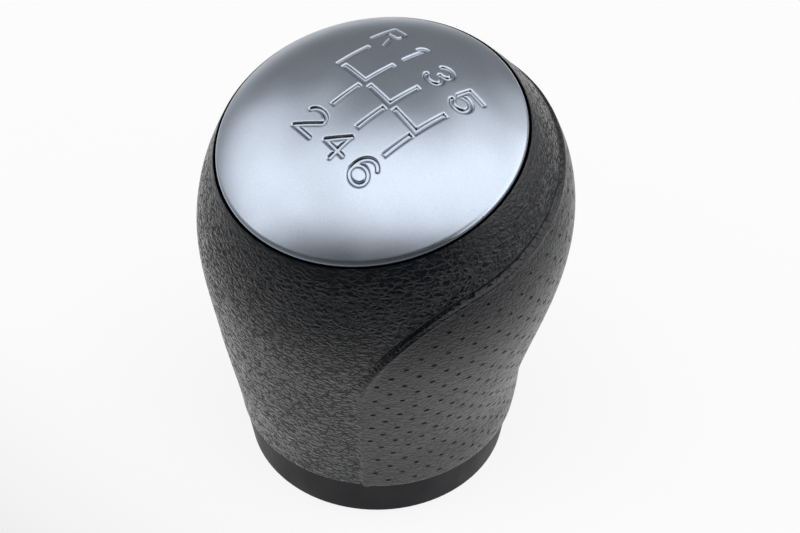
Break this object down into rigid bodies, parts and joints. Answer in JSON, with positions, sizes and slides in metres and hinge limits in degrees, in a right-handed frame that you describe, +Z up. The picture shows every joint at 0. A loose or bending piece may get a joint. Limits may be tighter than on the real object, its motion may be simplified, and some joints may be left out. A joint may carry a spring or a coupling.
{
  "type": "gear shift knob",
  "caption": "Bulbous gear shift knob with a soft grained grip, a perforated side panel under a folded seam, a tilted domed silver cap and a threaded bush in its hollow foot.",
  "frame": {"origin": "middle of the foot's lower face, on the axis of the lever thread", "axes": "+Z up along the lever, +Y to the front of the car, +X to the right; the cap tips back towards -Y, where the driver sits"},
  "size_m": [0.061, 0.0605, 0.0765],
  "materials": {
    "satin_silver": "satin",
    "grained_skin": "semi-matt moulded grain",
    "dark_plastic": "matt",
    "bush_metal": "turned"
  },
  "bodies": {
    "root": {"shift_pattern_cap": "satin_silver", "grip_body": "grained_skin", "core": "dark_plastic", "threaded_insert": "bush_metal"}
  },
  "joints": []
}
